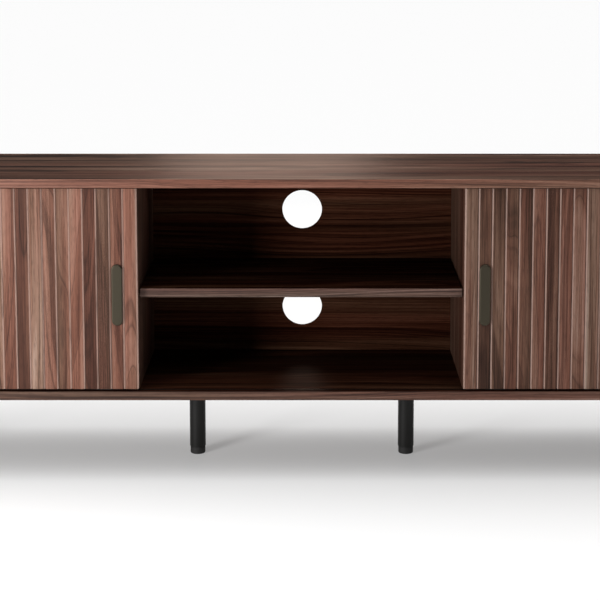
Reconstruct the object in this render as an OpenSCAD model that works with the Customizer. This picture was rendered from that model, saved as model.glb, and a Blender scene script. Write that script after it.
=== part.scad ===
// Media cabinet: a long low walnut console on six round steel legs.
// Two slatted doors slide in one track in front of three bays. The middle bay
// is open, with one shelf and a back panel with two round cable holes.
// Frame: origin on the floor under the middle of the cabinet, +X to the right,
// the front faces -Y, +Z up. Millimetres.

/* [Cabinet] */
// Overall width
cabinet_w = 1900; // [1560:10:2300]
// Overall depth
cabinet_d = 400; // [330:5:500]
// Height of the body above the legs
body_h = 454; // [370:2:560]
// Thickness of the top, the bottom, the sides and the partitions
panel_t = 18; // [15:0.1:22]
// Clear width of the open middle bay
bay_w = 660; // [540:2:800]

/* [Shelves] */
// Thickness of the shelves
shelf_t = 18; // [15:0.1:22]
// Clear height between the shelves and the top
upper_bay_h = 210; // [170:2:260]
// Distance from the cabinet's front to the shelves' front edges
shelf_setback = 26; // [25:0.5:60]
// Clearance between a shelf and the upright at each end
shelf_end_gap = 2; // [0.5:0.5:4]
// Clearance between a shelf and the back panel
shelf_back_gap = 1; // [0.5:0.5:4]
// Diameter of the shelf pins
pin_d = 5; // [4:0.5:6]
// Depth of a shelf pin in its upright
pin_in = 7; // [5:0.5:7]
// Reach of a shelf pin under its shelf, from the upright
pin_out = 10; // [8:1:14]
// Distance from a shelf's front or back edge to its pins
pin_edge = 40; // [25:1:60]

/* [Back panels] */
// Thickness of the three back panels
back_t = 18; // [12:1:22]
// Distance from the cabinet's back to the back panels
back_inset = 24; // [10:1:40]
// Diameter of the two cable holes in the middle back panel
cable_hole_d = 88; // [60:2:110]
// Diameter of the cable hole in each outer back panel
side_hole_d = 60; // [40:2:80]
// Height of each cable hole's centre above the middle of its bay
cable_hole_rise = 3; // [0:1:20]

/* [Doors] */
// Distance from the cabinet's front to the doors' faces
door_setback = 5; // [4:0.5:8]
// Thickness of the board behind the slats
door_board_t = 11; // [9:0.5:14]
// Thickness of the slats
slat_t = 8; // [7:0.5:10]
// Width that the slats come closest to; a whole number of them fills a door
slat_aim_w = 27; // [22:0.5:34]
// Glue gap between two slats
slat_joint = 0.2; // [0.1:0.1:0.6]
// Width of the bevel on the slat edge that faces the middle bay
slat_inner_bevel = 3; // [1:0.2:3.6]
// Width of the bevel on the other slat edge
slat_outer_bevel = 1.2; // [0.6:0.2:2]
// Depth of both bevels
slat_bevel_depth = 1.8; // [0.8:0.2:3]
// Gap above the doors
door_top_gap = 1.5; // [1:0.5:5]
// Gap below the doors
door_bottom_gap = 4; // [3:0.5:6]
// Gap between a shut door and the side panel, filled by the bumpers
door_end_gap = 4; // [2:0.5:6]
// Running clearance between the doors and the partitions
door_run_gap = 1.5; // [1:0.5:3]
// Diameter of the rubber bumpers
bumper_d = 10; // [6:1:14]

/* [Door pulls] */
// Width of a door pull
pull_w = 22.5; // [18:0.5:24]
// Length of a door pull
pull_len = 126; // [110:2:160]
// Height that a door pull stands in front of its slat
pull_rise = 5; // [4:0.5:8]
// Distance from the door's mid-height down to the pull's centre
pull_drop = 11; // [0:1:60]
// Distance between the two screws of a pull
pull_screw_span = 96; // [64:16:96]
// Diameter of the pull screws
pull_screw_d = 4; // [3:0.5:4]
// Head diameter of the pull screws
pull_head_d = 8; // [6.5:0.5:9]
// Length of a pull screw in its pull
pull_screw_in = 3.5; // [2:0.5:3.5]

/* [Track] */
// Outer width of the top channel and the bottom track
track_w = 8; // [7:0.5:9]
// Depth of the bottom track in the bottom panel
track_depth = 6; // [4:0.5:7]
// Depth of the top channel in the top panel
channel_depth = 11; // [9:0.5:11.5]
// Wall of the track and the channel
track_wall = 1; // [0.8:0.1:1.2]
// Clearance on each side of a glide's blade
blade_gap = 0.5; // [0.3:0.1:0.8]
// Height that the top guides reach into the top panel
guide_rise = 4.5; // [3:0.5:5]
// Length of a glide
glide_len = 60; // [50:2:80]
// Length of a glide's blade
blade_len = 32; // [24:2:40]
// Thickness of a glide's base under the door
glide_base_t = 2.5; // [2:0.1:2.8]
// Thickness of a guide's base, let into the door's top edge
guide_base_t = 2; // [1.5:0.1:3]
// Distance from a door's end to the middle of its glides
glide_from_end = 70; // [40:5:120]
// Largest distance between two track screws
track_screw_pitch = 320; // [200:10:400]

/* [Legs] */
// Height from the floor to the body
leg_h = 170; // [130:5:210]
// Outer diameter of the leg tubes
leg_d = 34; // [26:1:40]
// Wall of the leg tubes
leg_wall = 2; // [1.5:0.5:3]
// Width of the square leg plates
plate_w = 70; // [60:2:84]
// Thickness of the leg plates
plate_t = 3; // [2:0.5:5]
// Distance from a plate's edge to its screws
plate_screw_edge = 9; // [7:1:12]
// Distance from the cabinet's end to the outer legs' centres
leg_end_inset = 60; // [56:2:120]
// Distance from the cabinet's front or back to the outer legs' centres
leg_edge_inset = 55; // [50:1:80]
// Distance between the two middle legs
mid_leg_span = 448; // [360:4:500]
// Height of the foot under the tube
foot_h = 16; // [10:1:24]
// Diameter of the foot
foot_d = 32; // [24:1:36]
// Rounding of the foot's lower edge
foot_round = 3; // [1:0.5:5]
// Length of the foot's plug in the tube
foot_plug_h = 14; // [8:1:24]

/* [Fasteners] */
// Diameter of the carcass dowels
dowel_d = 8; // [6:1:8]
// Length of a carcass dowel in an upright
dowel_in = 20; // [14:1:26]
// Diameter of the back panel dowels
back_dowel_d = 6; // [5:1:8]
// Length of a back panel dowel in a back panel
back_dowel_in = 15; // [10:1:20]
// Wood left over the end of a blind hole
blind_skin = 6; // [5:1:7]
// Diameter of the carcass screws
carcass_screw_d = 6; // [5:0.5:7]
// Head diameter of the carcass screws
carcass_head_d = 10; // [9:0.5:12]
// Head height of the carcass screws
carcass_head_h = 4; // [3:0.5:5]
// Length of a carcass screw in an upright
carcass_screw_in = 32; // [24:1:40]
// Diameter of the leg screws
leg_screw_d = 4.5; // [4:0.5:5]
// Head diameter of the leg screws
leg_screw_head_d = 8.5; // [7:0.5:9]
// Head height of the leg screws
leg_screw_head_h = 2.4; // [2:0.1:3]
// Diameter of the small screws in the track and the glides
small_screw_d = 3; // [2.5:0.1:3]
// Head diameter of the small screws
small_head_d = 5; // [4:0.1:5.4]
// Length of the small screws in a door
small_screw_in = 14; // [10:1:18]

/* [Hidden] */

round_fn = 64;
small_fn = 32;
over = 1; // extra length of a cut past a face

left = -1;
right = 1;
sides = [left, right];

// Levels, from the floor up
body_z0 = leg_h;
bay_z0 = body_z0 + panel_t;
body_z1 = body_z0 + body_h;
bay_z1 = body_z1 - panel_t;
shelf_z1 = bay_z1 - upper_bay_h;
shelf_z0 = shelf_z1 - shelf_t;

// Depths, from the front back
front_y = -cabinet_d / 2;
back_y = cabinet_d / 2;
door_y0 = front_y + door_setback;
board_y0 = door_y0 + slat_t;
door_y1 = board_y0 + door_board_t;
partition_y0 = door_y1 + door_run_gap;
back_panel_y1 = back_y - back_inset;
back_panel_y0 = back_panel_y1 - back_t;
shelf_y0 = max(front_y + shelf_setback, partition_y0);
shelf_y1 = back_panel_y0 - shelf_back_gap;
track_y = board_y0 + door_board_t / 2;

// Widths, from the middle out
end_x = cabinet_w / 2;
inner_x = end_x - panel_t;
bay_x = bay_w / 2;
partition_x1 = bay_x + panel_t;
door_x0 = bay_x;
door_x1 = inner_x - door_end_gap;
door_w = door_x1 - door_x0;
slat_count = round(door_w / slat_aim_w);
slat_w = door_w / slat_count;

// Doors
door_z0 = bay_z0 + door_bottom_gap;
door_z1 = bay_z1 - door_top_gap;
door_h = door_z1 - door_z0;
pull_slat = 1; // counted from 0 at the edge by the middle bay
slat_face_mid = (slat_inner_bevel + slat_w - slat_joint - slat_outer_bevel) / 2;
pull_x = door_x0 + pull_slat * slat_w + slat_face_mid;
pull_z = (door_z0 + door_z1) / 2 - pull_drop;
glide_xs = [door_x0 + glide_from_end, door_x1 - glide_from_end];
blade_w = track_w - 2 * track_wall - 2 * blade_gap;
glide_screw_dx = (glide_len + blade_len) / 4;
bumper_zs = [door_z0 + door_h / 5, door_z1 - door_h / 5];

// Track
track_screw_count = ceil(2 * inner_x / track_screw_pitch);
track_screw_step = 2 * inner_x / track_screw_count;
track_screw_xs = [for (i = [0:track_screw_count - 1]) -inner_x + (i + 0.5) * track_screw_step];
screw_skin = 2; // wood left over the point of a track screw
top_track_screw_len = panel_t - channel_depth - screw_skin;
bottom_track_screw_len = panel_t - track_depth - screw_skin;

// Legs
corner_leg_x = end_x - leg_end_inset;
corner_leg_y = back_y - leg_edge_inset;
mid_leg_x = mid_leg_span / 2;
leg_places = [
    [-corner_leg_x, -corner_leg_y], [corner_leg_x, -corner_leg_y],
    [-corner_leg_x, corner_leg_y], [corner_leg_x, corner_leg_y],
    [-mid_leg_x, 0], [mid_leg_x, 0]
];
front_left = leg_places[0];
front_right = leg_places[1];
back_left = leg_places[2];
back_right = leg_places[3];
middle_left = leg_places[4];
middle_right = leg_places[5];
plate_z0 = body_z0 - plate_t;
plate_screw_at = plate_w / 2 - plate_screw_edge;
leg_screw_in = panel_t - blind_skin;
plug_play = 0.1;
plug_d = leg_d - 2 * leg_wall - 2 * plug_play;

// Joinery
dowel_in_panel = panel_t - blind_skin;
end_upright_x = end_x - panel_t / 2;
partition_mid_x = bay_x + panel_t / 2;
upright_xs = [-end_upright_x, -partition_mid_x, partition_mid_x, end_upright_x];
joint_margin = 60;
joint_ys = [partition_y0 + joint_margin, back_panel_y0 - joint_margin];
joint_mid_y = (joint_ys[0] + joint_ys[1]) / 2;
back_joint_y = (back_panel_y0 + back_panel_y1) / 2;
back_joint_zs = [bay_z0 + joint_margin, bay_z1 - joint_margin];
pin_ys = [shelf_y0 + pin_edge, shelf_y1 - pin_edge];
pin_z = shelf_z0 - pin_d / 2;

walnut = "#6b4c40";
walnut_light = "#80604f";
walnut_dark = "#4c372e";
bronze = "#4a4438";
black_steel = "#22201e";
black_rubber = "#191817";
black_nylon = "#1c1b1a";
dark_rail = "#3a3531";
zinc = "#a8aaab";
beech = "#c8a77c";

// ---------- shared shapes ----------

// A box from its lowest to its highest corner
module box(low, high) {
    translate(low)
        cube(high - low);
}

// A straight round bar along +Z
module bar(diameter, length) {
    cylinder(d = diameter, h = length, $fn = small_fn);
}

// A round bar along X, from x0 to x1
module bar_x(diameter, x0, x1, y, z) {
    translate([x0, y, z])
        rotate([0, 90, 0])
            bar(diameter, x1 - x0);
}

// A round-ended slot shape, length along Z, thickness from y0 to y1
module slot_shape(width, length, y0, y1) {
    run = length - width;
    translate([0, y1, 0])
        rotate([90, 0, 0])
            linear_extrude(height = y1 - y0)
                union() {
                    square([width, run], center = true);
                    for (end = sides)
                        translate([0, end * run / 2])
                            circle(d = width, $fn = round_fn);
                }
}

// A screw with a conical head whose flat face is at z = 0, and its shank up +Z
module countersunk_screw(diameter, head_d, head_h, length) {
    rotate_extrude($fn = small_fn)
        polygon([
            [0, 0], [head_d / 2, 0], [diameter / 2, head_h],
            [diameter / 2, length], [0, length]
        ]);
}

// A screw with a flat round head from z = 0, and its shank up +Z
module flat_head_screw(diameter, head_d, head_h, length) {
    rotate_extrude($fn = small_fn)
        polygon([
            [0, 0], [head_d / 2, 0], [head_d / 2, head_h], [diameter / 2, head_h],
            [diameter / 2, length], [0, length]
        ]);
}

// ---------- fasteners: each is both the solid and its own hole ----------

// Carcass screws, up through the bottom panel into the uprights
module each_carcass_screw() {
    for (x = upright_xs, y = joint_ys)
        translate([x, y, body_z0])
            flat_head_screw(carcass_screw_d, carcass_head_d, carcass_head_h,
                            panel_t + carcass_screw_in);
}

// Carcass dowels, from the uprights up into the top panel, and one between
// each pair of carcass screws in the bottom panel
module each_carcass_dowel() {
    dowel_len = dowel_in_panel + dowel_in;
    for (x = upright_xs) {
        for (y = joint_ys)
            translate([x, y, bay_z1 - dowel_in])
                bar(dowel_d, dowel_len);
        translate([x, joint_mid_y, bay_z0 - dowel_in_panel])
            bar(dowel_d, dowel_len);
    }
}

// Back panel dowels: blind ones at the side panels, and ones that run right
// through the partitions into the back panels on both sides
module each_back_dowel() {
    side_dowel_x1 = inner_x + panel_t - blind_skin;
    for (side = sides, z = back_joint_zs)
        scale([side, 1, 1]) {
            bar_x(back_dowel_d, inner_x - back_dowel_in, side_dowel_x1, back_joint_y, z);
            bar_x(back_dowel_d, bay_x - back_dowel_in, partition_x1 + back_dowel_in,
                  back_joint_y, z);
        }
}

// Shelf pins, under both ends of the three shelves
module each_shelf_pin() {
    for (side = sides, y = pin_ys)
        scale([side, 1, 1]) {
            bar_x(pin_d, bay_x - pin_out, bay_x + pin_in, y, pin_z);
            bar_x(pin_d, partition_x1 - pin_in, partition_x1 + pin_out, y, pin_z);
            bar_x(pin_d, inner_x - pin_out, inner_x + pin_in, y, pin_z);
        }
}

// Leg screws, four through each plate into the bottom panel
module each_leg_screw() {
    for (place = leg_places, sx = sides, sy = sides)
        translate([place[0] + sx * plate_screw_at, place[1] + sy * plate_screw_at,
                   plate_z0 - leg_screw_head_h])
            flat_head_screw(leg_screw_d, leg_screw_head_d, leg_screw_head_h,
                            leg_screw_head_h + plate_t + leg_screw_in);
}

// Track screws, flush in the floors of the top channel and the bottom track
module each_track_screw() {
    for (x = track_screw_xs) {
        translate([x, track_y, bay_z1 + channel_depth - track_wall])
            countersunk_screw(small_screw_d, small_head_d, track_wall,
                              track_wall + top_track_screw_len);
        translate([x, track_y, bay_z0 - track_depth + track_wall])
            mirror([0, 0, 1])
                countersunk_screw(small_screw_d, small_head_d, track_wall,
                                  track_wall + bottom_track_screw_len);
    }
}

// Screws of one door: those of its glides and guides, flush in their bases, and
// those of its pull, flush in the back of the board
module each_door_screw(side) {
    head_h = (small_head_d - small_screw_d) / 2;
    for (gx = glide_xs, end = sides)
        translate([side * (gx + end * glide_screw_dx), track_y, 0]) {
            translate([0, 0, door_z0 - glide_base_t])
                countersunk_screw(small_screw_d, small_head_d, head_h,
                                  glide_base_t + small_screw_in);
            translate([0, 0, door_z1])
                mirror([0, 0, 1])
                    countersunk_screw(small_screw_d, small_head_d, head_h,
                                      guide_base_t + small_screw_in);
        }
    for (end = sides)
        translate([side * pull_x, door_y1, pull_z + end * pull_screw_span / 2])
            rotate([90, 0, 0])
                countersunk_screw(pull_screw_d, pull_head_d, (pull_head_d - pull_screw_d) / 2,
                                  door_board_t + slat_t + pull_screw_in);
}

// ---------- panels ----------

module top_panel() {
    color(walnut)
        difference() {
            box([-end_x, front_y, bay_z1], [end_x, back_y, body_z1]);
            box([-inner_x, track_y - track_w / 2, bay_z1 - over],
                [inner_x, track_y + track_w / 2, bay_z1 + channel_depth]);
            each_track_screw();
            each_carcass_dowel();
        }
}

module bottom_panel() {
    color(walnut)
        difference() {
            box([-end_x, front_y, body_z0], [end_x, back_y, bay_z0]);
            box([-inner_x, track_y - track_w / 2, bay_z0 - track_depth],
                [inner_x, track_y + track_w / 2, bay_z0 + over]);
            each_track_screw();
            each_carcass_dowel();
            each_carcass_screw();
            each_leg_screw();
        }
}

// What every upright is drilled for
module upright_holes() {
    each_carcass_dowel();
    each_carcass_screw();
    each_back_dowel();
    each_shelf_pin();
}

module side_panel(side) {
    color(walnut)
        difference() {
            box([side < 0 ? -end_x : inner_x, front_y, bay_z0],
                [side < 0 ? -inner_x : end_x, back_y, bay_z1]);
            upright_holes();
        }
}

module partition(side) {
    color(walnut)
        difference() {
            box([side < 0 ? -partition_x1 : bay_x, partition_y0, bay_z0],
                [side < 0 ? -bay_x : partition_x1, back_panel_y1, bay_z1]);
            upright_holes();
        }
}

module shelf(x0, x1) {
    color(walnut)
        box([x0 + shelf_end_gap, shelf_y0, shelf_z0],
            [x1 - shelf_end_gap, shelf_y1, shelf_z1]);
}

// One back panel with a cable hole at each of the given heights
module back_panel(x0, x1, hole_d, hole_zs) {
    color(walnut_dark)
        difference() {
            box([x0, back_panel_y0, bay_z0], [x1, back_panel_y1, bay_z1]);
            for (z = hole_zs)
                translate([(x0 + x1) / 2, back_panel_y0 - over, z])
                    rotate([-90, 0, 0])
                        cylinder(d = hole_d, h = back_t + 2 * over, $fn = round_fn);
            each_back_dowel();
        }
}

upper_hole_z = (shelf_z1 + bay_z1) / 2 + cable_hole_rise;
lower_hole_z = (bay_z0 + shelf_z0) / 2 + cable_hole_rise;

// ---------- track ----------

// A U channel along X; its open side is at z = 0 and its web is at z = depth
module u_channel(depth) {
    difference() {
        box([-inner_x, track_y - track_w / 2, 0], [inner_x, track_y + track_w / 2, depth]);
        box([-inner_x - over, track_y - track_w / 2 + track_wall, -over],
            [inner_x + over, track_y + track_w / 2 - track_wall, depth - track_wall]);
    }
}

module top_channel() {
    color(dark_rail)
        difference() {
            translate([0, 0, bay_z1])
                u_channel(channel_depth);
            each_track_screw();
        }
}

module bottom_track() {
    color(dark_rail)
        difference() {
            translate([0, 0, bay_z0])
                mirror([0, 0, 1])
                    u_channel(track_depth);
            each_track_screw();
        }
}

module track_screws() {
    color(zinc)
        each_track_screw();
}

// ---------- doors: side is -1 for the left one and 1 for the right one ----------

// The board that holds the slats, with seats for the guides' bases
module door_board(side) {
    color(walnut_dark)
        difference() {
            scale([side, 1, 1])
                box([door_x0, board_y0, door_z0], [door_x1, door_y1, door_z1]);
            for (gx = glide_xs)
                translate([side * gx, track_y, 0])
                    box([-glide_len / 2, -door_board_t / 2 - over, door_z1 - guide_base_t],
                        [glide_len / 2, door_board_t / 2 + over, door_z1 + over]);
            each_door_screw(side);
        }
}

// Slat number i, counted from the edge by the middle bay
module slat(i) {
    x0 = door_x0 + i * slat_w;
    x1 = x0 + slat_w - slat_joint;
    translate([0, 0, door_z0])
        linear_extrude(height = door_h)
            polygon([
                [x0, board_y0], [x0, door_y0 + slat_bevel_depth],
                [x0 + slat_inner_bevel, door_y0], [x1 - slat_outer_bevel, door_y0],
                [x1, door_y0 + slat_bevel_depth], [x1, board_y0]
            ]);
}

module door_slats(side) {
    color(walnut_light)
        scale([side, 1, 1])
            for (i = [0:slat_count - 1])
                if (i != pull_slat)
                    slat(i);
}

module door_pull_slat(side) {
    color(walnut_light)
        difference() {
            scale([side, 1, 1])
                slat(pull_slat);
            each_door_screw(side);
        }
}

// A round-ended bar that stands on its slat
module door_pull(side) {
    color(bronze)
        difference() {
            translate([side * pull_x, 0, pull_z])
                slot_shape(pull_w, pull_len, door_y0 - pull_rise, door_y0);
            each_door_screw(side);
        }
}

// Glides under a door, with a blade that runs on the floor of the bottom track
module door_glides(side) {
    color(black_nylon)
        difference() {
            for (gx = glide_xs)
                translate([side * gx, track_y, 0]) {
                    box([-glide_len / 2, -door_board_t / 2, door_z0 - glide_base_t],
                        [glide_len / 2, door_board_t / 2, door_z0]);
                    box([-blade_len / 2, -blade_w / 2, bay_z0 - track_depth + track_wall],
                        [blade_len / 2, blade_w / 2, door_z0 - glide_base_t]);
                }
            each_door_screw(side);
        }
}

// Guides in the top edge of a door, with a blade that runs in the top channel
module door_guides(side) {
    color(black_nylon)
        difference() {
            for (gx = glide_xs)
                translate([side * gx, track_y, 0]) {
                    box([-glide_len / 2, -door_board_t / 2, door_z1 - guide_base_t],
                        [glide_len / 2, door_board_t / 2, door_z1]);
                    box([-blade_len / 2, -blade_w / 2, door_z1],
                        [blade_len / 2, blade_w / 2, bay_z1 + guide_rise]);
                }
            each_door_screw(side);
        }
}

module door_screws(side) {
    color(zinc)
        each_door_screw(side);
}

// Rubber bumpers on the side panels, which a shut door rests against
module door_bumpers() {
    color(black_rubber)
        for (side = sides, z = bumper_zs)
            scale([side, 1, 1])
                bar_x(bumper_d, door_x1, inner_x, track_y, z);
}

// ---------- legs ----------

// A square plate with a tube welded under its middle
module leg(place) {
    color(black_steel)
        difference() {
            translate([place[0], place[1], 0]) {
                translate([-plate_w / 2, -plate_w / 2, plate_z0])
                    cube([plate_w, plate_w, plate_t]);
                difference() {
                    translate([0, 0, foot_h])
                        cylinder(d = leg_d, h = plate_z0 - foot_h, $fn = round_fn);
                    translate([0, 0, foot_h - over])
                        cylinder(d = leg_d - 2 * leg_wall, h = plate_z0 - foot_h + over,
                                 $fn = round_fn);
                }
            }
            each_leg_screw();
        }
}

// A rounded rubber foot with a plug that fits in the tube
module foot(place) {
    r = foot_d / 2;
    color(black_rubber)
        translate([place[0], place[1], 0])
            rotate_extrude($fn = round_fn)
                union() {
                    square([r - foot_round, foot_h]);
                    translate([0, foot_round])
                        square([r, foot_h - foot_round]);
                    translate([r - foot_round, foot_round])
                        intersection() {
                            circle(r = foot_round, $fn = small_fn);
                            translate([0, -foot_round])
                                square(foot_round);
                        }
                    square([plug_d / 2, foot_h + foot_plug_h]);
                }
}

module leg_screws() {
    color(zinc)
        each_leg_screw();
}

// ---------- hidden joinery ----------

module shelf_pins() {
    color(zinc)
        each_shelf_pin();
}

module carcass_dowels() {
    color(beech)
        each_carcass_dowel();
}

module carcass_screws() {
    color(zinc)
        each_carcass_screw();
}

module back_panel_dowels() {
    color(beech)
        each_back_dowel();
}

top_panel();
bottom_panel();
side_panel(left);  // side_panel_left
side_panel(right);  // side_panel_right
partition(left);  // partition_left
partition(right);  // partition_right
shelf(-bay_x, bay_x);  // shelf_centre
shelf(-inner_x, -partition_x1);  // shelf_left
shelf(partition_x1, inner_x);  // shelf_right
back_panel(-bay_x, bay_x, cable_hole_d, [lower_hole_z, upper_hole_z]);  // back_panel_centre
back_panel(-inner_x, -partition_x1, side_hole_d, [lower_hole_z]);  // back_panel_left
back_panel(partition_x1, inner_x, side_hole_d, [lower_hole_z]);  // back_panel_right
top_channel();
bottom_track();
track_screws();
door_board(left);  // door_left_board
door_slats(left);  // door_left_slats
door_pull_slat(left);  // door_left_pull_slat
door_pull(left);  // door_left_pull
door_glides(left);  // door_left_glides
door_guides(left);  // door_left_guides
door_screws(left);  // door_left_screws
door_board(right);  // door_right_board
door_slats(right);  // door_right_slats
door_pull_slat(right);  // door_right_pull_slat
door_pull(right);  // door_right_pull
door_glides(right);  // door_right_glides
door_guides(right);  // door_right_guides
door_screws(right);  // door_right_screws
door_bumpers();
shelf_pins();
leg(front_left);  // leg_front_left
leg(front_right);  // leg_front_right
leg(back_left);  // leg_back_left
leg(back_right);  // leg_back_right
leg(middle_left);  // leg_middle_left
leg(middle_right);  // leg_middle_right
foot(front_left);  // foot_front_left
foot(front_right);  // foot_front_right
foot(back_left);  // foot_back_left
foot(back_right);  // foot_back_right
foot(middle_left);  // foot_middle_left
foot(middle_right);  // foot_middle_right
leg_screws();
carcass_dowels();
carcass_screws();
back_panel_dowels();
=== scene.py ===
import functools
import itertools
import math

import bpy
import bmesh
import numpy as np
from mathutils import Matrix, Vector


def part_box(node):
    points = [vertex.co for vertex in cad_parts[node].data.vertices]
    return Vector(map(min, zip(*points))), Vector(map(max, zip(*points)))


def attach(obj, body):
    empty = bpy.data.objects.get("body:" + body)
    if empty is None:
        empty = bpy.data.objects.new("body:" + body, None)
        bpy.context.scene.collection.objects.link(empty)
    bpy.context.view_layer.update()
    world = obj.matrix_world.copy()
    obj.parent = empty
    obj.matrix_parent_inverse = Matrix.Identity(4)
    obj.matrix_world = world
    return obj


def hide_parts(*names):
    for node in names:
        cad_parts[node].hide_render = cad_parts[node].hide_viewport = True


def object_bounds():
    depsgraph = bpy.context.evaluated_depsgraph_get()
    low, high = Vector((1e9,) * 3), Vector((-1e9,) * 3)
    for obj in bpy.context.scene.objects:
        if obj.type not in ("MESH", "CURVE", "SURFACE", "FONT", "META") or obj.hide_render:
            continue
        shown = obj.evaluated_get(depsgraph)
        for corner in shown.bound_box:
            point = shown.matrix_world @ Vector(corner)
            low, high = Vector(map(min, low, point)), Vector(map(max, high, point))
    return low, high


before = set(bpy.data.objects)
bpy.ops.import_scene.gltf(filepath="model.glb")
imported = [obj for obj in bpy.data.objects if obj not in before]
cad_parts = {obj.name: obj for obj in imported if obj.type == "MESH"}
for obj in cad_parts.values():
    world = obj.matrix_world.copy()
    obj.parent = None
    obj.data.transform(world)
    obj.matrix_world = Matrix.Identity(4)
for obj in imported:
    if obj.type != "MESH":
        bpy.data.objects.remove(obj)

# A walnut media cabinet: veneered panels with softened edges, two sliding doors
# of upright slats with bronze bar pulls, and black powder-coated steel legs.
# Everything is in metres. Places and main sizes come from the frame's own boxes; the
# small sizes that those boxes don't show are named in millimetres.

CAD_BOX = [list(corner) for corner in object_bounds()]
MM = 0.001
SAME_PLACE = 0.001 * MM  # points this close are one point
SIDES = {"left": -1, "right": 1}
LEG_ROWS = ("front", "back", "middle")
scene = bpy.context.scene


def corners(node):
    """Lowest and highest corner of a CAD node as two arrays."""
    low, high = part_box(node)
    return np.array(low), np.array(high)


# ---------------------------------------------------------------- mesh tools


def tube_faces(rings, count):
    """Quads of a tube that is open at both ends: they join each point to the next
    round its ring, of count points, and to the same two on the next ring."""
    ring = np.arange(rings - 1)[:, None] * count
    point = np.arange(count)[None, :]
    beside = (point + 1) % count
    quads = np.stack([ring + point, ring + beside, ring + count + beside, ring + count + point],
                     axis=-1)
    return list(quads.reshape(-1, 4))


def solid_faces(rings, count):
    """Faces of such a tube with a flat face across its first and its last ring."""
    total = rings * count
    return tube_faces(rings, count) + [np.arange(count), np.arange(total - count, total)]


def arc(start, end, steps):
    """Angles from start to end in degrees, as radians."""
    return np.radians(np.linspace(start, end, steps))


def join_parts(parts):
    """One point array and one face list out of several (points, faces) pairs."""
    points, faces, count = [], [], 0
    for own_points, own_faces in parts:
        points.append(own_points)
        faces += [face + count for face in own_faces]
        count += len(own_points)
    return np.concatenate(points), faces


def make_piece(name, points, faces, material, body, node, slot, crease=30, **values):
    """Puts points and faces into a mesh, closes its seams and poles, turns its
    faces outwards, and lets it ride on its body in place of its CAD node. Each
    further value is one number for every point, which materials can read."""
    mesh = bpy.data.meshes.new(name)
    mesh.from_pydata(points.tolist(), [], faces)
    for key, value in values.items():
        layer = mesh.attributes.new(key, "FLOAT", "POINT")
        layer.data.foreach_set("value", np.asarray(value, np.float32))
    work = bmesh.new()
    work.from_mesh(mesh)
    bmesh.ops.remove_doubles(work, verts=work.verts, dist=SAME_PLACE)
    bmesh.ops.dissolve_degenerate(work, edges=work.edges, dist=SAME_PLACE / 10)
    bmesh.ops.recalc_face_normals(work, faces=work.faces)
    work.to_mesh(mesh)
    work.free()
    mesh.shade_smooth()
    mesh.set_sharp_from_angle(angle=math.radians(crease))
    mesh.materials.append(material)
    piece = bpy.data.objects.new(name, mesh)
    scene.collection.objects.link(piece)
    even = piece.modifiers.new("even_shading", "WEIGHTED_NORMAL")
    even.keep_sharp = True
    even.weight = 100  # the largest faces decide the shading
    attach(piece, body)
    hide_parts(node)
    return piece


# ------------------------------------------------------------------- shapes

def rounded_panel(low, high, radius, axis, groove, steps=5):
    """A board with softened edges: the sum of a smaller box and a ball. Each
    station along the axis is a rectangle with round corners; near the two ends
    the corner radius follows a quarter circle down to nothing. A groove is
    (first, last, edge0, edge1, depth, side): a channel between edge0 and edge1
    in the second direction, cut to its depth between stations first and last."""
    u, v = [i for i in range(3) if i != axis]
    end = arc(0, 90, steps)
    swell = [np.cos(end[::-1]), np.cos(end)]
    reach = [low[axis] + radius - radius * np.sin(end[::-1]),
             high[axis] - radius + radius * np.sin(end)]
    stations = list(zip(reach[0], swell[0], [0] * steps))
    if groove:
        first, last, edge0, edge1, depth, side = groove
        stations += [(first, 1, 0), (first, 1, 1), (last, 1, 1), (last, 1, 0)]
    stations += list(zip(reach[1], swell[1], [0] * steps))

    rings = []
    for place, size, cut in stations:
        r = radius * size
        inner = [(low[u] + radius, low[v] + radius, 180), (high[u] - radius, low[v] + radius, 270),
                 (high[u] - radius, high[v] - radius, 0), (low[u] + radius, high[v] - radius, 90)]
        ring = []
        for corner, (cu, cv, begin) in enumerate(inner):
            turn = arc(begin, begin + 90, steps)
            ring += list(zip(cu + r * np.cos(turn), cv + r * np.sin(turn)))
            if groove and corner == (0 if side < 0 else 2):
                face = low[v] + radius - r if side < 0 else high[v] - radius + r
                bottom = face - side * depth * cut
                near, far = (edge0, edge1) if side < 0 else (edge1, edge0)
                ring += [(near, face), (near, bottom), (far, bottom), (far, face)]
        block = np.empty((len(ring), 3))
        block[:, axis] = place
        block[:, [u, v]] = ring
        rings.append(block)
    return np.concatenate(rings), solid_faces(len(rings), len(rings[0]))


def stacked(levels):
    """A solid out of plans at heights: each (height, plan) is a ring of points,
    and the first and the last ring are closed flat."""
    points = [np.column_stack([plan, np.full(len(plan), height)]) for height, plan in levels]
    return np.concatenate(points), solid_faces(len(levels), len(levels[0][1]))


def lathe(outline, turns=48):
    """A surface of revolution about +Z: each (radius, height) of the outline
    goes round a full turn; points on the axis close into poles."""
    outline = np.asarray(outline, float)
    angle = np.linspace(0, 2 * math.pi, turns, endpoint=False)
    radius, height = outline[:, 0][:, None], outline[:, 1][:, None]
    points = np.stack([radius * np.cos(angle), radius * np.sin(angle),
                       height + 0 * angle], axis=-1).reshape(-1, 3)
    return points, tube_faces(len(outline), turns)


def stadium(inset, half_width, half_run, steps=13):
    """Points round a slot shape, inset from its outer edge: two half circles
    about the ends of its middle line, with radius half_width minus inset."""
    r = max(half_width - inset, 0)
    top, bottom = arc(0, 180, steps), arc(180, 360, steps)
    across = np.concatenate([r * np.cos(top), r * np.cos(bottom)])
    along = np.concatenate([half_run + r * np.sin(top), -half_run + r * np.sin(bottom)])
    return across, along


# ---------------------------------------------------------------- materials

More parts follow.
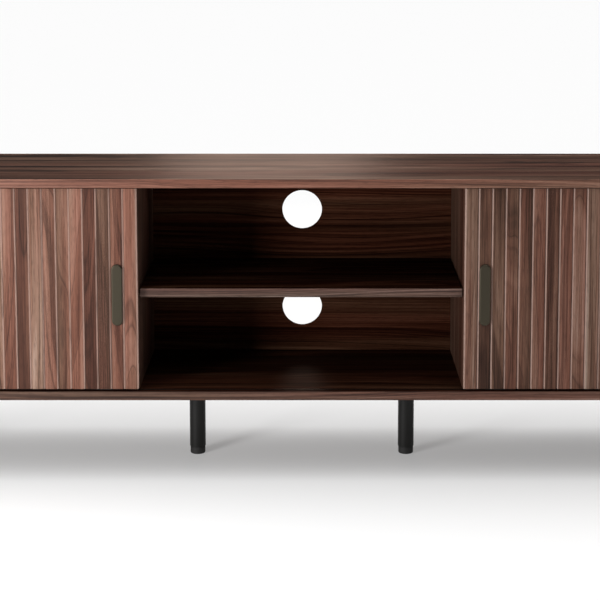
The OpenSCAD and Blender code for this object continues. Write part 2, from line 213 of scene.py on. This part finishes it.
def linear(colour):
    """An sRGB hex colour as the linear values that a shader takes."""
    parts = [int(colour[i:i + 2], 16) / 255 for i in (1, 3, 5)]
    return tuple(c / 12.92 if c <= 0.04045 else ((c + 0.055) / 1.055) ** 2.4 for c in parts) + (1,)


def add_node(tree, kind, *values, **named):
    """Adds a shader node. The kind is its type and, after a space, its operation.
    Plain values fill its inputs in order, and i6 fills input number 6; any other
    name is that of a property or an input. A node or an output among the values
    is linked, and anything else is set on the socket."""
    kind, *operation = kind.split()
    made = tree.nodes.new("ShaderNode" + kind)
    if operation:
        made.operation = operation[0]
    for key in [key for key in named if key in made.bl_rna.properties]:
        setattr(made, key, named.pop(key))
    for key, value in [("i%d" % i, value) for i, value in enumerate(values)] + list(named.items()):
        socket = made.inputs[int(key[1:]) if key[1:].isdigit() else key.replace("_", " ")]
        if isinstance(value, bpy.types.Node):
            value = value.outputs[0]
        if isinstance(value, bpy.types.NodeSocket):
            tree.links.new(value, socket)
        else:
            socket.default_value = value
    return made


def new_material(name, **constant):
    """A material with its Principled shader, and values that are the same all over."""
    material = bpy.data.materials.new(name)
    material.use_nodes = True
    tree = material.node_tree
    shader = tree.nodes["Principled BSDF"]
    for key, value in constant.items():
        shader.inputs[key.replace("_", " ")].default_value = value
    return material, tree, shader


def set_stops(ramp, stops):
    """Gives a colour ramp its (place, hex colour) stops."""
    band = ramp.color_ramp
    while len(band.elements) < len(stops):
        band.elements.new(0.5)
    for element, (place, colour) in zip(band.elements, stops):
        element.position = place
        element.color = linear(colour)


# The layers of the figure: how wide and how long their marks are in millimetres, and
# the detail, roughness and distortion of their noise. The pores are 0.3 mm wide in
# real walnut and are drawn coarser, so that they show
FIGURE_LAYERS = {
    "pith": (170, 1500, 2.0, 0.55, 0.0),
    "bands": (45, 1300, 2.0, 0.5, 0.0),
    "streaks": (5.5, 520, 3.0, 0.62, 0.25),
    "fibres": (1.8, 150, 2.0, 0.6, 0.0),
    "pores": (1.4, 20, 1.0, 0.5, 0.0),
}
BOARD_STEPS = 1.37, 0.73, 2.11  # metres from one board's figure to the next's, on each axis
STREAK_WEIGHT, FIBRE_WEIGHT = 0.95, 0.7
RING_WIDTH = 8 * MM
RING_LEVEL = 0.46  # the rings' noise has a dark line where it crosses this
RING_LINE = 0.004, 0.035  # the line is darkest up to the first distance and gone at the second
PORE_RIM = 0.33, 0.45  # noise below the first is pore, and above the second it is wood
PORE_TONE = 0.72
PITH_WANDER = 0.10, 0.12  # how far the pith strays across the board and in its depth
PITH_REACH = 0.12  # the figure is folded back at this distance from the pith
BEVEL_PAINTED_HIGHLIGHT = "#a3867a"  # painted highlight on the bevels, where they catch the light
BEVEL_HIGHLIGHT_COVER = 0.9
PORE_HEIGHT = 0.12 * MM


def walnut(name, grain, tones, seed=0.0, contrast=1.0, board_tones=0.0, painted_light_and_shade=1.0, shine=0.22,
           ringing=0.9, banding=0.9):
    """Lacquered walnut veneer. The grain runs along one axis. Growth rings are
    shells round a slowly wandering pith, so a face that cuts them flat shows
    cathedrals and a face that cuts them square shows straight lines; thin dark
    lines follow some of the rings. Over them lie broad bands, streaks a few
    millimetres wide, fibres and pores. Some boards are redder and some greyer.
    The bevels are painted paler, as a painted highlight. The lacquer is satin."""
    material, tree, shader = new_material(name, Specular_IOR_Level=shine)
    add = functools.partial(add_node, tree)
    order = {"X": (1, 2, 0), "Z": (0, 1, 2)}[grain]
    split = add("SeparateXYZ", add("TexCoord").outputs["Object"]).outputs
    across, depth, along = (split[i] for i in order)
    board = add("Math ADD", add("Attribute", attribute_name="board").outputs["Fac"], seed)

    def shifted(value, step, scale):
        """value / scale, moved by a different amount on each board."""
        moved = add("Math ADD", value, add("Math MULTIPLY", board, step))
        return add("Math MULTIPLY", moved, 1 / scale)

    def weighted(terms):
        """The sum of weight * (value - 0.5) over the terms."""
        total = None
        for value, weight in terms:
            part = add("Math MULTIPLY", add("Math SUBTRACT", value, 0.5), weight)
            total = part if total is None else add("Math ADD", total, part)
        return total

    # Object space is squeezed for each layer, so that one unit is the size of a mark
    marks = {}
    for layer, (wide, long, detail, roughness, distortion) in FIGURE_LAYERS.items():
        sizes = wide * MM, wide * MM, long * MM
        squeezed = add("CombineXYZ", *map(shifted, (across, depth, along), BOARD_STEPS, sizes))
        marks[layer] = add("TexNoise", Vector=squeezed, Scale=1.0, Detail=detail,
                           Roughness=roughness, Distortion=distortion).outputs
    wander = add("SeparateXYZ", marks["pith"]["Color"]).outputs
    fibres, pores = marks["fibres"]["Fac"], marks["pores"]["Fac"]

    # The distance from the pith, in ring widths, picks the growth ring
    ring_u = add("Math ADD", shifted(across, 0.217, 1.0),
                 add("Math MULTIPLY", wander[0], PITH_WANDER[0]))
    ring_u = add("Math PINGPONG", ring_u, PITH_REACH)
    ring_w = add("Math ADD", shifted(depth, 0.041, 1.0),
                 add("Math MULTIPLY", wander[1], PITH_WANDER[1]))
    radius = add("Math SQRT", add("Math ADD", add("Math MULTIPLY", ring_u, ring_u),
                                  add("Math MULTIPLY", ring_w, ring_w)))
    rings = add("TexNoise", noise_dimensions="1D", W=add("Math MULTIPLY", radius, 1 / RING_WIDTH),
                Scale=1.0, Detail=2.5, Roughness=0.6).outputs["Fac"]

    figure = weighted([(rings, ringing * contrast),
                       (marks["streaks"]["Fac"], STREAK_WEIGHT * contrast),
                       (fibres, FIBRE_WEIGHT * contrast),
                       (marks["bands"]["Fac"], banding * contrast)])
    if board_tones:
        tone = add("TexWhiteNoise", noise_dimensions="1D", W=board).outputs["Value"]
        figure = add("Math ADD", figure, weighted([(tone, board_tones)]))
    colour = add("ValToRGB", add("Math ADD", figure, 0.5))
    set_stops(colour, tones)
    hue = add("ValToRGB", marks["bands"]["Color"])
    set_stops(hue, [(0.42, "#ffe9e3"), (0.58, "#edefe8")])

    # Dark lines along some rings, and dark pores
    line = add("Math ABSOLUTE", add("Math SUBTRACT", rings, RING_LEVEL))
    line = add("MapRange", line, From_Min=RING_LINE[0], From_Max=RING_LINE[1],
               To_Min=1.0 - 0.45 * ringing, To_Max=1.0)
    pore = add("MapRange", pores, From_Min=PORE_RIM[0], From_Max=PORE_RIM[1],
               To_Min=PORE_TONE, To_Max=1.0)
    # The last factor scales the whole colour: above 1 it is painted light, below 1 painted shade, which
    # makes lit and shaded copies of the veneer
    shade = add("Math MULTIPLY", add("Math MULTIPLY", line, pore), painted_light_and_shade)
    # The bevel mask blends in the painted highlight colour
    bevel = add("Math MULTIPLY", add("Attribute", attribute_name="bevel").outputs["Fac"],
                BEVEL_HIGHLIGHT_COVER)
    for blend, amount, layer in (("MULTIPLY", 1.0, hue), ("MIX", bevel, linear(BEVEL_PAINTED_HIGHLIGHT)),
                                 ("MULTIPLY", 1.0, shade)):
        colour = add("Mix", amount, data_type="RGBA", blend_type=blend, i6=colour,
                     i7=layer).outputs[2]
    tree.links.new(colour, shader.inputs["Base Color"])

    gloss = add("MapRange", fibres, From_Min=0.3, From_Max=0.7, To_Min=0.5, To_Max=0.38)
    tree.links.new(gloss.outputs[0], shader.inputs["Roughness"])
    relief = add("Math ADD", add("Math MULTIPLY", fibres, 0.5), pore)
    bump = add("Bump", Strength=0.18, Distance=PORE_HEIGHT, Height=relief)
    tree.links.new(bump.outputs[0], shader.inputs["Normal"])
    return material


WALNUT = [(0.05, "#27150e"), (0.28, "#493026"), (0.50, "#6b4c3f"), (0.72, "#87695c"), (0.95, "#a89086")]
# The greyer stops give a greyer, less red tone, used on the shelf's edge; the richer ones
# are for the top, and the deeper ones are painted shade: the dark, saturated tone of the
# shaded bays
GREYER = [(0.05, "#2b1c16"), (0.28, "#4a372f"), (0.50, "#6b5349"), (0.72, "#88726a"), (0.95, "#a8958b")]
RICHER = [(0.05, "#27140c"), (0.28, "#492e22"), (0.50, "#6b483a"), (0.72, "#866353"), (0.95, "#a7887a")]
PAINTED_SHADE_TONES = [(0.05, "#27120b"), (0.28, "#492a1e"), (0.50, "#6a4231"), (0.72, "#855a46"), (0.95, "#a57a63")]

# The top is satin with long calm streaks, and painted darker as painted shade; the edge bands
# are plainer, the top's front edge painted paler as painted light and the lower edges painted
# darker as painted shade; inside the bays the veneer is painted very dark as painted shade and
# is dead matt, with a trace of gloss on the bay floor only
walnut_top = walnut("walnut_veneer_top", "X", RICHER, seed=3.0, contrast=1.0, painted_light_and_shade=0.52, banding=1.8,
                    shine=0.15)
walnut_edge = walnut("walnut_edge_veneer", "X", WALNUT, seed=7.0, contrast=0.6, painted_light_and_shade=1.25)
walnut_low_edge = walnut("walnut_edge_veneer_below", "X", WALNUT, seed=8.0, contrast=0.9, painted_light_and_shade=0.66)
walnut_shelf_edge = walnut("walnut_shelf_edge_veneer", "X", GREYER, seed=9.0, painted_light_and_shade=0.63)
walnut_inside = walnut("walnut_veneer_inside", "X", PAINTED_SHADE_TONES, seed=11.0, painted_light_and_shade=0.2, shine=0.0)
walnut_floor = walnut("walnut_veneer_bay_floor", "X", PAINTED_SHADE_TONES, seed=12.0, painted_light_and_shade=0.22, shine=0.006)
walnut_back = walnut("walnut_veneer_back_panel", "X", PAINTED_SHADE_TONES, seed=13.0, contrast=0.6, painted_light_and_shade=0.38,
                     shine=0.0, ringing=1.3, banding=2.2)
walnut_upright = walnut("walnut_veneer_upright", "Z", WALNUT, seed=17.0, contrast=0.7, shine=0.12)
# The partitions are painted darker, as painted shade of the bays
walnut_partition = walnut("walnut_veneer_partition", "Z", WALNUT, seed=19.0, painted_light_and_shade=0.55, shine=0.05)
# The slats differ in tone from one to the next. The left door is painted lighter and the right
# door darker, painted light and painted shade for the light falling off to the right; the
# right door was also cut from a more figured flitch than the left
walnut_slat = {"left": walnut("walnut_slat_left", "Z", WALNUT, seed=5.0, board_tones=0.55,
                              contrast=0.62, painted_light_and_shade=1.14, shine=0.14, ringing=0.9,
                              banding=1.3),
               "right": walnut("walnut_slat_right", "Z", WALNUT, seed=5.0, board_tones=0.45,
                               contrast=0.9, painted_light_and_shade=0.84, shine=0.14, ringing=0.8,
                               banding=0.8)}


def fine_grain(name, colour, rough, metallic, grain_mm, depth_mm, **constant):
    """A fine even finish: the roughness and the bump follow one noise whose grains
    have the given size."""
    material, tree, shader = new_material(name, Base_Color=linear(colour), Metallic=metallic,
                                          **constant)
    spread = 0.06  # how far the roughness strays from its middle value
    speck = add_node(tree, "TexNoise", Vector=add_node(tree, "TexCoord").outputs["Object"],
                     Scale=1 / (grain_mm * MM), Detail=2.0, Roughness=0.6)
    gloss = add_node(tree, "MapRange", speck, From_Min=0.3, From_Max=0.7,
                     To_Min=rough - spread, To_Max=rough + spread)
    tree.links.new(gloss.outputs[0], shader.inputs["Roughness"])
    bump = add_node(tree, "Bump", Strength=0.35, Distance=depth_mm * MM, Height=speck)
    tree.links.new(bump.outputs[0], shader.inputs["Normal"])
    return material


# Matt black powder coat on the legs: a soft, slightly grained black with weak highlights
black_coat = fine_grain("powder_coated_steel", "#0f0e0c", 0.5, 0.0, 0.9, 0.05,
                        Specular_IOR_Level=0.28)
# Oiled bronze of the pulls: a dark olive brown metal with a broad, dim sheen
dark_bronze = fine_grain("dark_bronze", "#443f35", 0.42, 1.0, 0.6, 0.02)
# Moulded rubber of the feet and bumpers: flat black, no highlight to speak of
rubber = fine_grain("moulded_rubber", "#191817", 0.7, 0.0, 1.2, 0.04)
# Nylon of the glides and guides: black with the low gloss of moulded plastic
nylon = fine_grain("black_nylon", "#1c1b1a", 0.45, 0.0, 1.5, 0.03)
# Anodised aluminium of the track: a dark, fine, even metal
dark_rail = fine_grain("dark_anodised_aluminium", "#3a3531", 0.38, 1.0, 0.5, 0.01)
# Zinc plate on the screws and pins: pale grey metal, softly blurred
zinc = fine_grain("zinc_plated_steel", "#a8aaab", 0.35, 1.0, 0.7, 0.02)
# Raw beech of the dowels: pale straw with faint grain
beech = walnut("beech_dowel", "Z", [(0.1, "#a98a63"), (0.5, "#c8a77c"), (0.9, "#dcc09a")])

CAD_FINISHES = {
    "top_channel": dark_rail, "bottom_track": dark_rail, "track_screws": zinc,
    "carcass_dowels": beech, "back_panel_dowels": beech,
    "back_panel_centre": walnut_back, "back_panel_left": walnut_back,
    "back_panel_right": walnut_back,
}
for side in SIDES:
    CAD_FINISHES["door_%s_board" % side] = walnut_upright
    CAD_FINISHES["door_%s_glides" % side] = nylon
    CAD_FINISHES["door_%s_guides" % side] = nylon
    CAD_FINISHES["door_%s_screws" % side] = zinc
for node, finish in CAD_FINISHES.items():
    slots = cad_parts[node].data.materials
    slots.clear()
    slots.append(finish)

# -------------------------------------------------------------------- panels

EDGE = 0.9 * MM  # softened arris of a veneered board
BAND_DEPTH = 0.6 * EDGE  # the edge veneer reaches this far back round the arris
board_numbers = itertools.count(1)


def panel(node, material, axis=0, groove=None, edge_band=None):
    """One board with its veneer, and a strip of edge veneer on its front edge."""
    low, high = corners(node)
    points, faces = rounded_panel(low, high, EDGE, axis, groove)
    own_board = np.full(len(points), float(next(board_numbers)))
    piece = make_piece(node + "_board", points, faces, material, "cabinet", node,
                       "walnut_veneer", board=own_board)
    if edge_band:
        mesh = piece.data
        mesh.materials.append(edge_band)
        centres = np.empty(len(mesh.polygons) * 3)
        mesh.polygons.foreach_get("center", centres)
        in_front = centres[1::3] < low[1] + BAND_DEPTH
        mesh.polygons.foreach_set("material_index", in_front.astype(np.int32))


channel_low, channel_high = corners("top_channel")
track_low, track_high = corners("bottom_track")
panel("top_panel", walnut_top, edge_band=walnut_edge, groove=(
    channel_low[0], channel_high[0], channel_low[1], channel_high[1],
    channel_high[2] - channel_low[2], -1))
panel("bottom_panel", walnut_floor, edge_band=walnut_low_edge, groove=(
    track_low[0], track_high[0], track_low[1], track_high[1], track_high[2] - track_low[2], 1))
for shelf in ("shelf_centre", "shelf_left", "shelf_right"):
    panel(shelf, walnut_inside, edge_band=walnut_shelf_edge)
for side in SIDES:
    panel("side_panel_" + side, walnut_upright, axis=2)
    panel("partition_" + side, walnut_partition, axis=2)

# --------------------------------------------------------------------- doors

BEVEL_IN, BEVEL_OUT, BEVEL_DEEP = 3.0 * MM, 1.2 * MM, 1.8 * MM
SLAT_ARRIS = 0.5 * MM
END_EASE = 0.4 * MM  # how far a slat or a leg plate draws in at its ends
CORNER_POINTS = 4  # points on each softened corner of a slat
FIRST_BOARD = {"left": 20.0, "right": 60.0}  # the first slat's board number


def soften(outline, radius, steps):
    """A closed outline with each corner replaced by a small arc-like curve: a
    quadratic curve that leaves and meets the sides one radius from the corner."""
    outline = np.asarray(outline, float)
    before = np.roll(outline, 1, axis=0) - outline
    after = np.roll(outline, -1, axis=0) - outline
    before *= (radius / np.linalg.norm(before, axis=1))[:, None]
    after *= (radius / np.linalg.norm(after, axis=1))[:, None]
    t = np.linspace(0, 1, steps)[None, :, None]
    start, end = (outline + before)[:, None], (outline + after)[:, None]
    return ((1 - t) ** 2 * start + 2 * t * (1 - t) * outline[:, None] + t ** 2 * end).reshape(-1, 2)


def slat_block(x0, x1, face, back, z0, z1, towards_middle):
    """One slat standing between z0 and z1. Its outline in plan is a rectangle
    with a wide bevel on the edge towards the middle of the cabinet and a narrow
    one on the other edge; both ends draw in a little."""
    inner, outer = (x0, x1) if towards_middle < 0 else (x1, x0)
    away = 1 if outer > inner else -1
    outline = [(inner, back), (inner, face + BEVEL_DEEP), (inner + away * BEVEL_IN, face),
               (outer - away * BEVEL_OUT, face), (outer, face + BEVEL_DEEP), (outer, back)]
    ring = soften(outline, SLAT_ARRIS, CORNER_POINTS)
    middle = np.array([(x0 + x1) / 2, (face + back) / 2])
    half = np.array([(x1 - x0) / 2, (back - face) / 2])
    drawn_in = middle + (ring - middle) * (1 - END_EASE / half)
    levels = [(z0, drawn_in), (z0 + END_EASE, ring), (z1 - END_EASE, ring), (z1, drawn_in)]
    points, faces = stacked(levels)
    # The wide bevel runs from the second corner to halfway round the third
    # This mask is where the slat veneer paints its bevel highlight
    on_bevel = np.zeros(len(ring))
    on_bevel[CORNER_POINTS:CORNER_POINTS * 5 // 2] = 1.0
    return points, faces, np.tile(on_bevel, len(levels))


def make_slats(side):
    """All the slats of one door, at equal steps over the board behind them. The
    second slat from the inner edge carries the pull and is a piece of its own."""
    door = "door_" + side
    sign = SIDES[side]
    board_low, board_high = corners(door + "_board")
    low, high = corners(door + "_slats")
    pull_low, pull_high = corners(door + "_pull_slat")
    inner_edge = board_low[0] if sign > 0 else board_high[0]
    pull_edge = pull_low[0] if sign > 0 else pull_high[0]
    step = abs(pull_edge - inner_edge)
    width = pull_high[0] - pull_low[0]
    count = round((board_high[0] - board_low[0]) / step)
    slats = []
    for i in range(count):
        near = inner_edge + sign * i * step
        x0, x1 = sorted((near, near + sign * width))
        points, faces, bevel = slat_block(x0, x1, low[1], high[1], low[2], high[2], -sign)
        slats.append((points, faces, bevel, np.full(len(points), FIRST_BOARD[side] + i)))
    slat_with_pull = slats.pop(1)
    for name, node, own in (("_slat_row", "_slats", slats),
                            ("_slat_with_pull", "_pull_slat", [slat_with_pull])):
        points, faces = join_parts([slat[:2] for slat in own])
        make_piece(door + name, points, faces, walnut_slat[side], door, door + node,
                   "slat_veneer", board=np.concatenate([slat[3] for slat in own]),
                   bevel=np.concatenate([slat[2] for slat in own]))


def make_pull(side):
    """A round-ended bronze bar on its slat. Each (inset, depth) of its section
    goes round the slot outline: back, upright wall, edge rounded over a quarter
    circle, and face up to the middle line. The depth counts from the face."""
    low, high = corners("door_%s_pull" % side)
    half_width = (high[0] - low[0]) / 2
    half_run = (high[2] - low[2]) / 2 - half_width
    rise = high[1] - low[1]
    turn = arc(0, 90, 7)
    edge = 2.4 * MM
    ease = 0.3 * MM
    ridge = 1.5 * MM  # half the width of the last strip of the face
    section = [(half_width, rise), (ease, rise), (0.0, rise - ease)]
    section += list(zip(edge * (1 - np.cos(turn)), edge * (1 - np.sin(turn))))
    section += [(half_width - ridge, 0), (half_width, 0)]
    middle = (low + high) / 2
    rings = []
    for inset, depth in section:
        across, along = stadium(inset, half_width, half_run)
        rings.append(np.column_stack([middle[0] + across, np.full(len(across), low[1] + depth),
                                      middle[2] + along]))
    make_piece("door_%s_pull_bar" % side, np.concatenate(rings),
               tube_faces(len(rings), len(rings[0])), dark_bronze, "door_" + side,
               "door_%s_pull" % side, "bronze", crease=50)


for side in SIDES:
    make_slats(side)
    make_pull(side)

# ---------------------------------------------------------------------- legs

TUBE_RADIUS = 17 * MM
PLATE_THICK = 3 * MM
PLATE_CORNER = 6 * MM
SCREW_FROM_EDGE = 9 * MM  # from a leg plate's edges to its screws
LEG_TURNS = 64


def make_leg(place):
    """A steel tube welded under a square plate with round corners. The tube is
    a turned section with a small bead of weld at its top and a rolled lower end."""
    low, high = corners("leg_" + place)
    middle = (low + high) / 2
    top = high[2] - PLATE_THICK
    turn = arc(0, 90, 6)
    bead = 2.2 * MM
    wall = 2 * MM
    roll = 0.4 * MM
    inside = TUBE_RADIUS - wall
    section = [(inside, low[2] + 20 * MM), (inside, low[2] + 0.3 * MM),
               (inside + 0.3 * MM, low[2]), (TUBE_RADIUS - roll, low[2]),
               (TUBE_RADIUS, low[2] + roll)]
    section += [(TUBE_RADIUS, low[2] + (top - bead - low[2]) * k / 8) for k in range(1, 8)]
    section += list(zip(TUBE_RADIUS + bead * (1 - np.cos(turn)), top - bead * (1 - np.sin(turn))))
    section += [(TUBE_RADIUS - 1 * MM, top + 0.2 * MM)]
    tube, tube_quads = lathe(section, LEG_TURNS)

    half = (high[0] - low[0]) / 2
    plan = soften([(-half, -half), (half, -half), (half, half), (-half, half)], PLATE_CORNER, 7)
    drawn_in = plan * (1 - END_EASE / half)
    plate, plate_quads = stacked([(top, drawn_in), (top + END_EASE, plan),
                                  (high[2] - END_EASE, plan), (high[2], drawn_in)])
    points, faces = join_parts([(tube, tube_quads), (plate, plate_quads)])
    make_piece("leg_%s_tube_and_plate" % place, points + [middle[0], middle[1], 0], faces,
               black_coat, "cabinet", "leg_" + place, "leg_steel", crease=45)


def make_foot(place):
    """A turned foot with a round lower edge, a groove where it meets the tube,
    and a plug that goes up into the tube."""
    low, high = corners("foot_" + place)
    middle = (low + high) / 2
    top = corners("leg_" + place)[0][2]
    radius = (high[0] - low[0]) / 2
    turn = arc(0, 90, 6)
    edge = 3.0 * MM
    groove = radius - 0.9 * MM
    plug = radius - 4 * MM
    section = [(0, low[2]), (radius - edge, low[2])]
    section += list(zip(radius - edge + edge * np.sin(turn), low[2] + edge * (1 - np.cos(turn))))
    section += [(radius, top - 2.2 * MM), (radius - 0.3 * MM, top - 1.7 * MM),
                (groove, top - 1.2 * MM), (groove, top), (plug, top), (plug, high[2]),
                (0, high[2])]
    points, faces = lathe(section, LEG_TURNS)
    make_piece("foot_%s_cap" % place, points + [middle[0], middle[1], 0], faces, rubber,
               "cabinet", "foot_" + place, "rubber", crease=35)


for row in LEG_ROWS:
    for side in SIDES:
        make_leg("%s_%s" % (row, side))
        make_foot("%s_%s" % (row, side))

# ---------------------------------------------------------------- small parts


def socket_screw(head, head_high, shank, length):
    """A screw up +Z with its head at the bottom: a six-sided socket, a domed head,
    and a shank with a point. Each (radius, height, six) is a ring; where six is 1
    the radius is that of a hexagon, the flat's distance over the cosine of the
    angle from the flat's middle."""
    socket = 0.42 * head
    socket_floor, socket_mouth = 0.7 * head_high, 0.12 * head_high
    rings = [(0, socket_floor, 1), (socket, socket_floor, 1), (socket, socket_mouth, 1),
             (1.25 * socket, 0, 0)]
    rings += [(head * (0.62 + 0.38 * math.sin(t)), 0.6 * head_high * (1 - math.cos(t)), 0)
              for t in arc(20, 90, 5)]
    rings += [(head, 0.9 * head_high, 0), (0.95 * head, head_high, 0), (shank, head_high, 0),
              (shank, length - 2 * shank, 0), (0, length, 0)]
    radius, height, six = (np.array(v, float)[:, None] for v in zip(*rings))
    angle = np.linspace(0, 2 * math.pi, 36, endpoint=False)
    flat = 1 / np.cos(angle % (math.pi / 3) - math.pi / 6)
    reach = radius * (1 + six * (flat - 1))
    points = np.stack([reach * np.cos(angle), reach * np.sin(angle), height + 0 * angle], axis=-1)
    return points.reshape(-1, 3), tube_faces(len(rings), len(angle))


def make_screws(node, head, head_high, shank, places):
    """One screw at each (x, y) place, as long as its CAD node is high."""
    low, high = corners(node)
    screw, quads = socket_screw(head, head_high, shank, high[2] - low[2])
    points, faces = join_parts([(screw + [x, y, low[2]], quads) for x, y in places])
    make_piece(node + "_socket_heads", points, faces, zinc, "cabinet", node, "zinc", crease=40)


def make_pegs(node, outline, material, slot, places):
    """Turned pegs that lie along X. Each place is (x, y, z, direction), with x at
    the outline's foot; direction 1 points to +X and -1 to -X."""
    turned, quads = lathe(outline, 28)
    lying = turned[:, [2, 0, 1]]
    points, faces = join_parts([(lying * [direction, 1, 1] + [x, y, z], quads)
                                for x, y, z, direction in places])
    make_piece(node + "_turned", points, faces, material, "cabinet", node, slot, crease=40)


def make_leg_screws():
    """Four screws in each leg's plate, one near each corner."""
    places = []
    for row in LEG_ROWS:
        for side in SIDES:
            low, high = corners("leg_%s_%s" % (row, side))
            places += [(x, y) for x in (low[0] + SCREW_FROM_EDGE, high[0] - SCREW_FROM_EDGE)
                       for y in (low[1] + SCREW_FROM_EDGE, high[1] - SCREW_FROM_EDGE)]
    make_screws("leg_screws", 4.25 * MM, 2.4 * MM, 2.25 * MM, places)


def make_carcass_screws():
    """Two screws up into each upright, one near the front and one near the back."""
    low, high = corners("carcass_screws")
    head = 5 * MM
    uprights = [np.mean(corners(name + side), axis=0)[0] for name in ("side_panel_", "partition_")
                for side in SIDES]
    make_screws("carcass_screws", head, 4 * MM, 3 * MM,
                [(x, y) for x in uprights for y in (low[1] + head, high[1] - head)])


def make_shelf_pins():
    """Pins with eased rims, two in each inner face that holds a shelf's end."""
    low, high = corners("shelf_pins")
    radius = (high[2] - low[2]) / 2
    sunk, shown, ease = 7 * MM, 10 * MM, 0.5 * MM
    outline = [(0, -sunk), (radius - ease, -sunk), (radius, ease - sunk),
               (radius, shown - ease), (radius - ease, shown), (0, shown)]
    faces = []
    for side, sign in SIDES.items():
        panel_x, partition_x = ([corner[0] for corner in corners(name + side)[::sign]]
                                for name in ("side_panel_", "partition_"))
        faces += [(panel_x[0], -sign), (partition_x[1], sign), (partition_x[0], -sign)]
    make_pegs("shelf_pins", outline, zinc, "zinc",
              [(x, y, (low[2] + high[2]) / 2, direction) for x, direction in faces
               for y in (low[1] + radius, high[1] - radius)])


def make_door_bumpers():
    """Low rubber domes on the side panels, two at each end, which reach as far as
    the shut door's board."""
    low, high = corners("door_bumpers")
    radius = 5 * MM
    gap = abs(corners("side_panel_left")[1][0] - corners("door_left_board")[0][0])
    outline = [(0, 0), (radius, 0)]
    outline += [(radius * (0.6 + 0.4 * math.cos(t)), gap * (0.4 + 0.6 * math.sin(t)))
                for t in arc(0, 90, 6)]
    outline += [(0, gap)]
    make_pegs("door_bumpers", outline, rubber, "rubber",
              [(x, (low[1] + high[1]) / 2, z, direction) for x, direction in
               ((low[0], 1), (high[0], -1)) for z in (low[2] + radius, high[2] - radius)])


make_leg_screws()
make_carcass_screws()
make_shelf_pins()
make_door_bumpers()

# -------------------------------------------------------------------- floor, camera, lights

lo, hi = CAD_BOX


def make_floor():
    """A plain pale floor that runs out of sight. It is painted with a faint glow, though it is
    no lamp, so that shadows stay soft grey."""
    reach = 60.0
    mesh = bpy.data.meshes.new("floor")
    mesh.from_pydata([(-reach, -reach, 0), (reach, -reach, 0), (reach, reach, 0), (-reach, reach, 0)],
                     [], [(0, 1, 2, 3)])
    mesh.materials.append(new_material(
        "floor_with_painted_glow", Base_Color=linear("#cfcfcf"), Roughness=0.9, Specular_IOR_Level=0.1,
        Emission_Color=linear("#ffffff"), Emission_Strength=0.27)[0])
    floor = bpy.data.objects.new("floor", mesh)
    scene.collection.objects.link(floor)


make_floor()


def make_camera():
    """A view of the front from a little above, with a long lens. The lens is shifted
    down, so that the camera tips less and uprights stay nearly upright."""
    aside, back_off, above = 0.027, 3.490, 0.505
    tip = math.radians(7.28)
    data = bpy.data.cameras.new("camera")
    data.sensor_width = 36.0
    data.lens = 105.73
    data.shift_x = -0.0239
    data.shift_y = -0.25
    data.dof.use_dof = False
    camera = bpy.data.objects.new("camera", data)
    camera.location = (aside, lo[1] - back_off, hi[2] + above)
    camera.rotation_euler = (math.pi / 2 - tip, 0, 0)
    scene.collection.objects.link(camera)
    scene.camera = camera


make_camera()


def area_light(name, place, aim, size, power, colour="#ffffff"):
    """A rectangular light at a place, turned to face its aim."""
    data = bpy.data.lights.new(name, "AREA")
    data.shape = "RECTANGLE"
    data.size, data.size_y = size
    data.energy = power
    data.color = linear(colour)[:3]
    light = bpy.data.objects.new(name, data)
    light.location = place
    light.rotation_euler = (Vector(aim) - Vector(place)).to_track_quat("-Z", "Y").to_euler()
    scene.collection.objects.link(light)


# The key light is low at the front left, so the slats' bevels and the pulls' rims
# catch it; a weak one fills in from the right, and a warm one grazes the top from behind
area_light("key", (-1.6, -1.7, 0.55), (0, -0.2, 0.4), (0.6, 0.5), 35)
area_light("right_side", (3.2, -2.0, 0.7), (0.2, -0.2, 0.4), (1.0, 1.0), 6.5)
area_light("back_glow", (-0.15, 3.2, 1.25), (0, 0.1, 0.6), (0.8, 0.7), 4.4, "#ffdfcc")


def make_world():
    """Soft studio light: bright from above, dim from low down."""
    world = bpy.data.worlds.new("studio")
    scene.world = world
    world.use_nodes = True
    tree = world.node_tree
    ray = add_node(tree, "TexCoord").outputs["Generated"]
    height = add_node(tree, "SeparateXYZ", ray).outputs["Z"]
    level = add_node(tree, "MapRange", height, interpolation_type="SMOOTHSTEP",
                     From_Min=0.5, From_Max=0.95, To_Min=0.02, To_Max=2.45)
    background = tree.nodes["Background"]
    background.inputs["Color"].default_value = linear("#ffffff")
    tree.links.new(level.outputs[0], background.inputs["Strength"])


make_world()
scene.view_settings.view_transform = "Standard"
